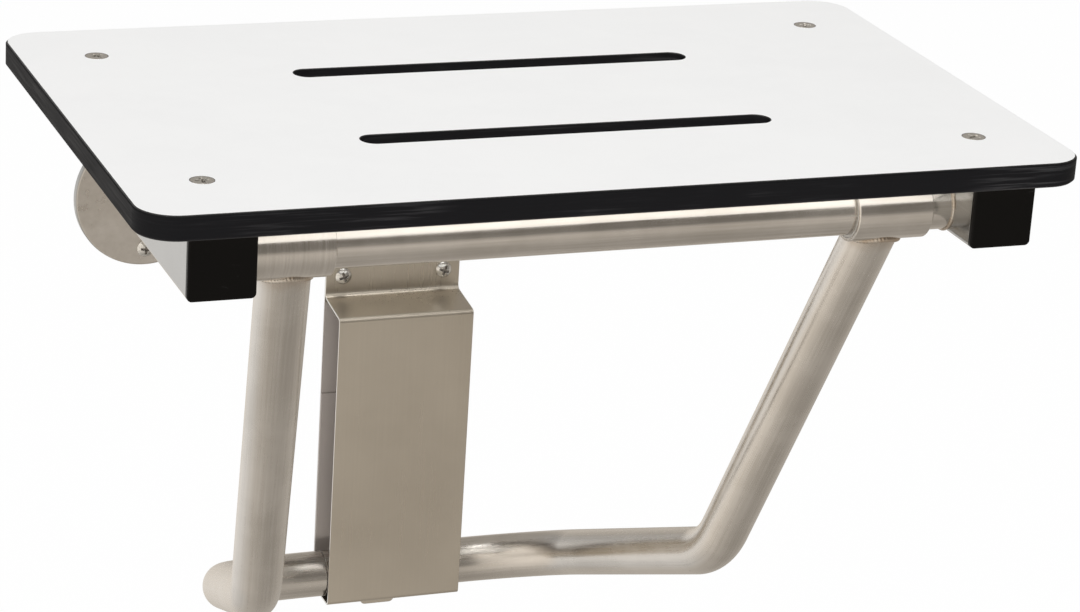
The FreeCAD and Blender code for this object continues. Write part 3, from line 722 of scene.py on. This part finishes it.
def liner_material(finish):
    """Grey bearing plastic with turned rings along its length."""
    material, tree, place = new_material("bearing_plastic", roughness=0.38)
    rings = placed_group(tree, "brushed_grain", {"Vector": place, "Squeeze": (1500.0, 20.0, 20.0),
                                                 "Contrast": 1.4})
    tint = mixed(tree, rings, opaque(finish.liner_grey), opaque(finish.liner_grey, 0.9))
    normal = soft_edges(tree, finish.edge_rounding / 2, rings, strength=0.2, distance=0.00004)
    return wired(material, {"Base Color": tint, "Normal": normal})


def steel_material(name, finish, bright, shade, roughness, squeeze, weld_line=None, straight=False,
                   relief=0.1, line_share=0.55, cloud_scale=24.0, cut=None, inside=False):
    """Brushed stainless steel: lines drawn along one direction, cloudy patches and hair scratches.

    Near a weld line it has a straw tint. With straight set, the lines follow the piece's own straight
    attribute. Cut is an axis and a colour painted on the cut edges that face along it, as painted light: a
    painted highlight on the guide's sheet and painted shade on the flanges' rims. With inside set, the steel
    inside the guide is unpolished."""
    line_rough, cloud_rough, scratch_rough = 0.16, 0.08, 0.08
    material, tree, place = new_material(name, metallic=1.0)
    along = place
    if straight:
        along = add_node(tree, "ShaderNodeAttribute", attribute_name="straight").outputs["Vector"]
    lines = placed_group(tree, "brushed_grain", {"Vector": along, "Squeeze": squeeze, "Contrast": 1.6})
    clouds = placed_group(tree, "cloudy_patches", {"Vector": place, "Scale": cloud_scale, "Low": 0.3,
                                                   "High": 0.72})
    wider = [value / 6 for value in squeeze]
    scratches = placed_group(tree, "hair_scratches", {"Vector": along, "Squeeze": wider})
    grain = math_node(tree, "ADD", product(tree, lines, line_share), product(tree, clouds, 1.0 - line_share),
                      clamp=True)
    tint = mixed(tree, grain, opaque(shade), opaque(bright))
    sockets = {}
    # painted light on the cut edges that face along the axis
    if cut is not None:
        axis, painted_edge_shading = cut
        tint = mixed(tree, facing(tree, axis), tint, opaque(painted_edge_shading))
    if inside:
        unpolished = guide_inside(tree, place)
        tint = mixed(tree, unpolished, tint, opaque(finish.mill_grey))
        sockets["Metallic"] = between(tree, unpolished, 1.0, 0.15)
    if weld_line is not None:
        heat = placed_group(tree, "weld_heat", {"Vector": place, "Line": weld_line})
        tint = mixed(tree, product(tree, heat, 0.55), tint, opaque(finish.heat_tint))
    sockets["Base Color"] = tint
    sockets["Roughness"] = total(tree, product(tree, lines, line_rough), product(tree, clouds, cloud_rough),
                                 roughness - (line_rough + cloud_rough) / 2,
                                 product(tree, scratches, scratch_rough))
    height = math_node(tree, "SUBTRACT", lines, product(tree, scratches, 0.5))
    sockets["Normal"] = soft_edges(tree, finish.edge_rounding, height, strength=relief, distance=0.00006)
    return wired(material, sockets)


def screw_material(finish):
    """Bright stainless screw: finely mottled, with painted shade where the piece's hollow attribute is high.

    It is made the first time it is asked for, and the screws and the weld nuts share it."""
    name = "bright_screw_steel"
    if name in bpy.data.materials:
        return bpy.data.materials[name]
    material, tree, place = new_material(name, metallic=1.0)
    fine = noise(tree, place, 1400.0, 3.0)
    worn = ranged(tree, fine, 0.4, 0.75)
    tint = mixed(tree, worn, opaque(finish.screw_steel), opaque(finish.screw_steel, 0.7))
    hollow = add_node(tree, "ShaderNodeAttribute", attribute_name="hollow").outputs["Fac"]
    # painted shade darkens the recesses, deepest where the hollow attribute is high
    tint = mixed(tree, ranged(tree, hollow, 0.5, 1.0), tint, opaque(finish.recess_painted_shade))
    rough = ranged(tree, fine, 0.3, 0.7, finish.screw_roughness - 0.06, finish.screw_roughness + 0.08)
    normal = soft_edges(tree, finish.edge_rounding / 3, fine, strength=0.1, distance=0.00004)
    return wired(material, {"Base Color": tint, "Roughness": rough, "Normal": normal})


def weld_material(finish):
    """Weld bead: rippled bright steel with straw and brown patches."""
    material, tree, place = new_material("weld_bead_steel", metallic=1.0)
    patches = placed_group(tree, "cloudy_patches", {"Vector": place, "Scale": 90.0, "Low": 0.4, "High": 0.62})
    tint = mixed(tree, patches, opaque(finish.weld_steel), opaque(finish.heat_tint))
    fine = noise(tree, place, 900.0, 3.0)
    normal = soft_edges(tree, finish.edge_rounding / 2, fine, strength=0.15, distance=0.00005)
    rough = between(tree, patches, 0.24, 0.4)
    return wired(material, {"Base Color": tint, "Roughness": rough, "Normal": normal})


def dress(material, *nodes):
    """Give CAD nodes their finish, in the slot that each mesh already has."""
    for node in nodes:
        NODES[node].material_slots[0].material = material


# Squeeze of the coordinates, in lines per metre, for a grain that runs along X, Y or Z, round X or any way
GRAIN_ALONG_X = (14.0, 700.0, 700.0)
GRAIN_ALONG_Y = (700.0, 14.0, 700.0)
GRAIN_ALONG_Z = (900.0, 900.0, 9.0)
GRAIN_AROUND_X = (900.0, 30.0, 30.0)
GRAIN_EVERY_WAY = (260.0, 260.0, 260.0)


class WALLSEAT_OT_board(Operator):
    """Finish the seat board: black core and white decor sheets"""

    bl_idname = "wallseat.board"
    bl_label = "Seat board"

    def execute(self, context):
        finish = context.scene.wall_seat_finishes
        dress(core_material(finish), "seat_core")
        dress(decor_material(finish), "seat_top_sheet", "seat_underside_sheet")
        return {"FINISHED"}


def tube_finish(finish, bent=False):
    """Settings, colours and gloss of the round tubes."""
    roughness = finish.bent_roughness if bent else finish.tube_roughness
    return finish, finish.tube_steel, finish.tube_shade, roughness


class WALLSEAT_OT_seat_frame(Operator):
    """Finish the tubes under the board, their plugs and the weld nuts"""

    bl_idname = "wallseat.seat_frame"
    bl_label = "Seat frame"

    def execute(self, context):
        finish = context.scene.wall_seat_finishes
        square = steel_material("satin_square_tube", finish, finish.square_steel, finish.square_shade,
                                finish.tube_roughness, GRAIN_ALONG_Y)
        bar = steel_material("satin_cross_tube", *tube_finish(finish), GRAIN_ALONG_X)
        dress(square, "left_side_tube", "right_side_tube")
        dress(bar, "front_crossbar", "hinge_bar")
        dress(plug_material(finish), "left_front_plug", "right_front_plug", "left_rear_plug",
              "right_rear_plug")
        dress(screw_material(finish), "board_screw_nuts")
        return {"FINISHED"}


class WALLSEAT_OT_bearings(Operator):
    """Finish the bearing sleeves and their plastic liners"""

    bl_idname = "wallseat.bearings"
    bl_label = "Bearings"

    def execute(self, context):
        finish = context.scene.wall_seat_finishes
        drawn = steel_material("satin_sleeve_drawn", *tube_finish(finish), GRAIN_ALONG_X)
        ground = steel_material("satin_sleeve_ground", *tube_finish(finish), GRAIN_AROUND_X, relief=0.35)
        dress(ground, "left_brace_sleeve")
        dress(drawn, "right_brace_sleeve", "left_hinge_sleeve", "right_hinge_sleeve")
        dress(liner_material(finish), "left_brace_liner", "right_brace_liner", "left_hinge_liner",
              "right_hinge_liner")
        return {"FINISHED"}


def leg_corners(side, bends):
    """Corners of a brace leg's centre line: sleeve, knee, corner beside the guide, end."""
    sign = SIDES[side]
    top = middle(side + "_brace_sleeve")
    foot = middle("brace_foot")
    play = (middle("left_brace_sleeve")[0] + middle("right_brace_sleeve")[0]) / 2
    low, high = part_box(side + "_brace_leg")
    end_x = high.x if sign < 0 else low.x
    knee = np.array((top[0] - sign * bends.knee_inset, foot[1] - bends.knee_reach, foot[2] + bends.knee_rise))
    corner = np.array((end_x + sign * bends.foot_run + play, foot[1], foot[2]))
    return np.array((top, knee, corner, (end_x, foot[1], foot[2])))


def arm_corners(side):
    """Corners of a wall arm's centre line, from its sleeve down and back to the flange."""
    top = middle(side + "_hinge_sleeve")
    flange = middle(side + "_wall_flange")
    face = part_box(side + "_wall_flange")[0].y
    return np.array((top, (top[0], top[1], flange[2]), (top[0], face, flange[2])))


def bent_piece(name, corners, radii, bends, steel):
    """A bent tube as thick as the brace's foot, coped to its sleeve, as a new piece."""
    solid, straight = bent_tube(corners, radii, radius_of("brace_foot"), bends.tube_wall,
                                radius_of("left_brace_sleeve"), bends.columns, bends.bend_rows)
    return piece(name, solid, steel, straight=straight)


class WALLSEAT_OT_brace(Operator):
    """Make the two bent legs of the brace and finish its foot"""

    bl_idname = "wallseat.brace"
    bl_label = "Brace"

    def execute(self, context):
        scene = context.scene
        finish, bends = scene.wall_seat_finishes, scene.wall_seat_bends
        steel = tube_finish(finish, bent=True)
        weld_line = tuple(middle("left_brace_sleeve"))
        leg_steel = steel_material("satin_bent_leg", *steel, GRAIN_ALONG_X, weld_line, straight=True)
        for side in SIDES:
            corners = leg_corners(side, bends)
            foot_bend = min(bends.foot_bend, widest_bend(*corners[1:]))
            leg = bent_piece(side + "_bent_leg", corners, (bends.knee_bend, foot_bend), bends, leg_steel)
            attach(leg, "brace")
            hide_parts(side + "_brace_leg")
        dress(steel_material("satin_foot_tube", *steel, GRAIN_ALONG_X), "brace_foot")
        return {"FINISHED"}


class WALLSEAT_OT_wall_arms(Operator):
    """Make the bent wall arms and finish their flanges"""

    bl_idname = "wallseat.wall_arms"
    bl_label = "Wall arms"

    def execute(self, context):
        scene = context.scene
        finish, bends = scene.wall_seat_finishes, scene.wall_seat_bends
        steel = tube_finish(finish, bent=True)
        weld_line = tuple(middle("left_hinge_sleeve"))
        arm_steel = steel_material("satin_bent_arm", *steel, GRAIN_ALONG_X, weld_line, straight=True)
        # the flange rims that face along X get painted shade in the side tubes' darker colour
        flange_steel = steel_material("satin_flange", *steel[:3], finish.sheet_roughness, GRAIN_EVERY_WAY,
                                      relief=0.04, cut=("X", finish.square_shade))
        for side in SIDES:
            arm = bent_piece(side + "_bent_arm", arm_corners(side), (bends.arm_bend,), bends, arm_steel)
            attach(arm, "wall_mount")
            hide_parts(side + "_wall_arm")
        dress(flange_steel, "left_wall_flange", "right_wall_flange")
        return {"FINISHED"}


class WALLSEAT_OT_guide(Operator):
    """Finish the bent cover of the guide and its back plate"""

    bl_idname = "wallseat.guide"
    bl_label = "Guide"

    def execute(self, context):
        finish = context.scene.wall_seat_finishes
        steel = (finish, finish.sheet_steel, finish.sheet_shade, finish.sheet_roughness)
        # the sheet's cut edges that face along X get a painted highlight in the screws' brighter steel
        sheet = {"relief": 0.05, "line_share": 0.25, "cloud_scale": 9.0, "cut": ("X", finish.screw_steel),
                 "inside": True}
        dress(steel_material("brushed_cover", *steel, GRAIN_ALONG_Z, **sheet), "guide_cover")
        dress(steel_material("brushed_back_plate", *steel, GRAIN_ALONG_Z, **sheet), "guide_back_plate")
        return {"FINISHED"}


def like_pieces(node, axis, spread):
    """Boxes of the like pieces in one CAD node, as low and high corners.

    Points belong to one piece where they lie near each other across the axis."""
    mesh = NODES[node].data
    points = np.empty(len(mesh.vertices) * 3, np.float32)
    mesh.vertices.foreach_get("co", points)
    points = points.reshape(-1, 3).astype(float)
    across = np.delete(points, axis, axis=1)
    boxes = []
    while len(points):
        near = np.linalg.norm(across - across[0], axis=1) < spread
        boxes.append((points[near].min(axis=0), points[near].max(axis=0)))
        points, across = points[~near], across[~near]
    return boxes


def pan_head_screw(fit, head_radius, wall, tip):
    """Pan head screw along Z, whose neck ends at the wall plane. Heights count from the head's top."""
    edge = 0.00025
    side_top, seat = -fit.head_crown, -fit.head_height
    neck, crest = fit.neck_diameter / 2, fit.wall_thread / 2
    profile = [(head_radius - edge / 3, side_top - edge), (head_radius - edge / 3, seat + edge),
               (head_radius - edge, seat), (neck + edge, seat), (neck, seat - edge), (neck, wall),
               (crest, wall)]
    thread = thread_rows(wall, tip, fit.wall_pitch, crest, crest * fit.wall_root)
    return threaded_screw(fit, head_radius, fit.head_crown, profile, thread)


def countersunk_screw(fit, head_radius, tip):
    """Countersunk screw along Z, with a flat head that narrows at 45 degrees to the thread."""
    bevel = 0.0002
    crest = fit.board_thread / 2
    neck = crest - head_radius
    profile = [(head_radius - bevel / 2, -bevel), (crest, neck), (crest, neck - bevel)]
    thread = thread_rows(neck - bevel, tip, fit.board_pitch, crest, crest * fit.board_root, rows_per_turn=6)
    return threaded_screw(fit, head_radius - bevel, 0.0, profile, thread)


def screw_piece(name, made, finish):
    """Several screws as one new piece, from each one's solid and how deep in the recess its points lie."""
    solids, hollows = zip(*made)
    hollow = np.concatenate(hollows)
    return piece(name, joined(solids), screw_material(finish), sharp_angle=32.0, hollow=hollow)


class WALLSEAT_OT_wall_screws(Operator):
    """Make the pan head screws that hold the guide and the flanges"""

    bl_idname = "wallseat.wall_screws"
    bl_label = "Wall screws"

    def execute(self, context):
        scene = context.scene
        finish, fit = scene.wall_seat_finishes, scene.wall_seat_fittings
        turn, next_turn = 0.35, 0.9
        for node in ("guide_upper_screws", "guide_tab_screw", "left_flange_screws", "right_flange_screws"):
            made = []
            for low, high in like_pieces(node, 1, fit.screw_spread):
                top = np.array(((low[0] + high[0]) / 2, low[1], (low[2] + high[2]) / 2))
                solid, hollow = pan_head_screw(fit, (high[0] - low[0]) / 2, low[1], low[1] - high[1])
                made.append((set_screw(solid, top, (0, -1, 0), turn), hollow))
                turn += next_turn
            screws = screw_piece("pan_head_" + node, made, finish)
            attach(screws, "wall_mount")
            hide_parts(node)
        return {"FINISHED"}


class WALLSEAT_OT_board_screws(Operator):
    """Make the countersunk screws that hold the board to its tubes"""

    bl_idname = "wallseat.board_screws"
    bl_label = "Board screws"

    def execute(self, context):
        scene = context.scene
        finish, fit = scene.wall_seat_finishes, scene.wall_seat_fittings
        turn, next_turn = 0.5, 1.1
        made = []
        for low, high in like_pieces("board_screws", 2, fit.screw_spread):
            top = np.array(((low[0] + high[0]) / 2, (low[1] + high[1]) / 2, high[2]))
            solid, hollow = countersunk_screw(fit, (high[0] - low[0]) / 2, low[2] - high[2])
            made.append((set_screw(solid, top, (0, 0, 1), turn), hollow))
            turn += next_turn
        screws = screw_piece("countersunk_board_screws", made, finish)
        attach(screws, "seat")
        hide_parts("board_screws")
        return {"FINISHED"}


class WALLSEAT_OT_welds(Operator):
    """Make the weld beads of the frame, the brace and the wall arms"""

    bl_idname = "wallseat.welds"
    bl_label = "Weld beads"

    def execute(self, context):
        scene = context.scene
        finish, fit, bends = scene.wall_seat_finishes, scene.wall_seat_fittings, scene.wall_seat_bends
        steel = weld_material(finish)
        tube, sleeve = radius_of("brace_foot"), radius_of("left_brace_sleeve")
        small_share = 0.6
        bead = (fit.bead_radius, fit.bead_pitch)
        small_bead = (fit.bead_radius * small_share, fit.bead_pitch)
        seat_beads, brace_beads, wall_beads = [], [], []
        for side, sign in SIDES.items():
            for bar in ("front_crossbar", "hinge_bar"):
                low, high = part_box(bar)
                centre = middle(bar)
                centre[0] = high.x if sign > 0 else low.x
                seat_beads.append(circle_bead(centre, tube, "x", -sign, *small_bead))
            leg = leg_corners(side, bends)
            brace_beads.append(cope_bead(leg[0], leg[1], tube, sleeve, *bead))
            arm = arm_corners(side)
            wall_beads.append(cope_bead(arm[0], arm[1], tube, sleeve, *bead))
            wall_beads.append(circle_bead(arm[2], tube, "y", -1, *bead))
        for name, beads, body in (("seat_frame_welds", seat_beads, "seat"),
                                  ("brace_welds", brace_beads, "brace"),
                                  ("wall_arm_welds", wall_beads, "wall_mount")):
            welds = piece(name, joined(beads), steel, sharp_angle=60.0)
            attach(welds, body)
        return {"FINISHED"}


def camera_turn(studio):
    """The camera's axes, from its yaw and pitch, with both image directions turned by the roll."""
    yaw, pitch, roll = studio.camera_yaw, studio.camera_pitch, studio.camera_roll
    sight = Vector((math.sin(yaw) * math.cos(pitch), math.cos(yaw) * math.cos(pitch), -math.sin(pitch)))
    level = Vector((math.cos(yaw), -math.sin(yaw), 0.0))
    above = level.cross(sight)
    right = level * math.cos(roll) + above * math.sin(roll)
    up = above * math.cos(roll) - level * math.sin(roll)
    return Matrix((right, up, -sight)).transposed()


def add_lamp(name, origin, target, size, power, tint=(1.0, 1.0, 1.0)):
    """A rectangular soft lamp that faces its target."""
    lamp = bpy.data.lights.new(name, "AREA")
    lamp.shape = "RECTANGLE"
    lamp.size, lamp.size_y = size
    lamp.energy = power
    lamp.color = tint
    made = bpy.data.objects.new(name, lamp)
    aim = (target - origin).to_track_quat("-Z", "Y").to_matrix().to_4x4()
    made.matrix_world = Matrix.Translation(origin) @ aim
    bpy.context.scene.collection.objects.link(made)
    return made


def surround_world(studio):
    """The room round the seat: plain white for the camera, greys for light and reflections.

    The greys fall from the camera's left to its right, and downward. Over them lie a dim zone above and
    behind the seat, a broad soft light above the camera, a dark corner in front at the right, and a dim zone
    behind the seat. Metal sees them with the warm tint of the room, which is weak behind the seat at the
    left."""
    cool_share = 0.7
    world = bpy.data.worlds.new("studio_surround")
    world.use_nodes = True
    tree = world.node_tree
    background = tree.nodes["Background"]
    direction = add_node(tree, "ShaderNodeTexCoord").outputs["Generated"]
    camera_right, _, away = camera_turn(studio).transposed()
    level_sight = Vector((-away.x, -away.y, 0.0)).normalized()

    def share_along(axis):
        return vector_math(tree, "DOT_PRODUCT", direction, tuple(axis), output="Value")

    def blended(level, target, amount):
        gap = math_node(tree, "SUBTRACT", target, level)
        return total(tree, level, product(tree, gap, amount))

    height, right, inward = share_along((0.0, 0.0, 1.0)), share_along(camera_right), share_along(-away)
    ahead = ranged(tree, share_along(-level_sight), -0.1, 0.2)
    from_left = {"Value": right, "From Min": -1.0, "To Min": studio.left_level, "To Max": studio.right_level}
    level = product(tree, add_node(tree, "ShaderNodeMapRange", from_left).outputs[0],
                    ranged(tree, height, -0.3, -1.0, 1.0, studio.low_share))
    over = product(tree, ranged(tree, height, -0.1, 0.25), math_node(tree, "SUBTRACT", 1.0, ahead))
    softbox = product(tree, ranged(tree, height, 0.25, 0.5), ahead)
    dark = product(tree, ranged(tree, height, -0.3, -0.04), ranged(tree, height, 0.75, 0.6), ahead,
                   ranged(tree, right, 0.1, 0.5))
    behind = product(tree, ranged(tree, inward, 0.72, 0.93), ranged(tree, height, 0.08, -0.12),
                     ranged(tree, right, -0.3, 0.12))
    for target, zone in ((studio.high_level, over), (studio.softbox_level, softbox),
                         (studio.dark_level, dark), (studio.back_level, behind)):
        level = blended(level, target, zone)
    path = add_node(tree, "ShaderNodeLightPath").outputs
    cool = product(tree, ranged(tree, right, -0.3, -0.6), ranged(tree, inward, 0.1, 0.5), cool_share)
    warm = product(tree, path["Is Glossy Ray"], math_node(tree, "SUBTRACT", 1.0, cool))
    tint = mixed(tree, warm, opaque((1.0, 1.0, 1.0)), opaque(studio.front_tint))
    tree.links.new(tint, background.inputs["Color"])
    tree.links.new(blended(level, 1.0, path["Is Camera Ray"]), background.inputs["Strength"])
    return world


def floor_material():
    """White floor for the camera that still shows a faint shadow, and nothing from below."""
    material = bpy.data.materials.new("studio_floor")
    material.use_nodes = True
    tree = material.node_tree
    tree.nodes.clear()
    output = add_node(tree, "ShaderNodeOutputMaterial")
    white, matt_share, glow_share = (1.0, 1.0, 1.0), 0.93, 0.97
    matt = add_node(tree, "ShaderNodeBsdfDiffuse", {"Color": opaque(white, matt_share)})
    glow = add_node(tree, "ShaderNodeEmission", {"Color": opaque(white), "Strength": 1.0})
    pale = add_node(tree, "ShaderNodeMixShader", {0: glow_share, 1: matt.outputs[0], 2: glow.outputs[0]})
    clear = add_node(tree, "ShaderNodeBsdfTransparent")
    under = add_node(tree, "ShaderNodeNewGeometry").outputs["Backfacing"]
    whole = add_node(tree, "ShaderNodeMixShader", {0: under, 1: pale.outputs[0], 2: clear.outputs[0]})
    tree.links.new(whole.outputs[0], output.inputs["Surface"])
    return material


class WALLSEAT_OT_stage(Operator):
    """Set up the camera, the lamps, the surround and the floor"""

    bl_idname = "wallseat.stage"
    bl_label = "Stage"

    def execute(self, context):
        scene = context.scene
        studio = scene.wall_seat_studio
        scene.view_settings.view_transform = "Standard"
        lens = bpy.data.cameras.new("photo_camera")
        lens.lens = studio.camera_lens
        lens.shift_x = studio.camera_shift
        camera = bpy.data.objects.new("photo_camera", lens)
        camera.matrix_world = Matrix.Translation(studio.camera_place) @ camera_turn(studio).to_4x4()
        scene.collection.objects.link(camera)
        scene.camera = camera
        scene.world = surround_world(studio)
        add_lamp("lamp_above", studio.lamp_place, studio.lamp_target, studio.lamp_size, studio.lamp_power)
        bounce = add_lamp("bounce_in_front", studio.bounce_place, studio.bounce_target, studio.bounce_size,
                          studio.bounce_power, studio.bounce_tint)
        # the low lamp lights the underside but isn't seen in the metal
        bounce.visible_glossy = False
        half = studio.floor_size
        corners = np.array(((-half, -half), (half, -half), (half, half), (-half, half)))
        heights = np.full((4, 1), studio.floor_height)
        mesh = bpy.data.meshes.new("studio_floor")
        mesh.from_pydata(np.hstack((corners, heights)).tolist(), [], [(0, 1, 2, 3)])
        mesh.materials.append(floor_material())
        floor = bpy.data.objects.new("studio_floor", mesh)
        # only the camera sees the floor, and light and reflections come from the surround
        floor.visible_glossy = False
        floor.visible_diffuse = False
        floor.visible_shadow = False
        scene.collection.objects.link(floor)
        return {"FINISHED"}


OPERATORS = (WALLSEAT_OT_stage, WALLSEAT_OT_board, WALLSEAT_OT_seat_frame, WALLSEAT_OT_bearings,
             WALLSEAT_OT_brace, WALLSEAT_OT_wall_arms, WALLSEAT_OT_guide, WALLSEAT_OT_wall_screws,
             WALLSEAT_OT_board_screws, WALLSEAT_OT_welds)
SETTINGS = {"wall_seat_finishes": WallSeatFinishes, "wall_seat_fittings": WallSeatFittings,
            "wall_seat_bends": WallSeatBends, "wall_seat_studio": WallSeatStudio}


class WALLSEAT_PT_panel(Panel):
    """Lists the steps and the settings of the wall seat"""

    bl_idname = "WALLSEAT_PT_panel"
    bl_label = "Fold Down Wall Seat"
    bl_space_type = "VIEW_3D"
    bl_region_type = "UI"
    bl_category = "Wall Seat"

    def draw(self, context):
        for operator in OPERATORS:
            self.layout.operator(operator.bl_idname)
        for name, group in SETTINGS.items():
            box = self.layout.box()
            for setting in group.__annotations__:
                box.prop(getattr(context.scene, name), setting)


CLASSES = (*SETTINGS.values(), *OPERATORS, WALLSEAT_PT_panel)


def register():
    for item in CLASSES:
        bpy.utils.register_class(item)
    for name, group in SETTINGS.items():
        setattr(bpy.types.Scene, name, PointerProperty(type=group))


def unregister():
    for name in SETTINGS:
        delattr(bpy.types.Scene, name)
    for item in reversed(CLASSES):
        bpy.utils.unregister_class(item)


def main():
    register()
    for operator in OPERATORS:
        group, name = operator.bl_idname.split(".")
        getattr(getattr(bpy.ops, group), name)()


if __name__ == "__main__":
    main()
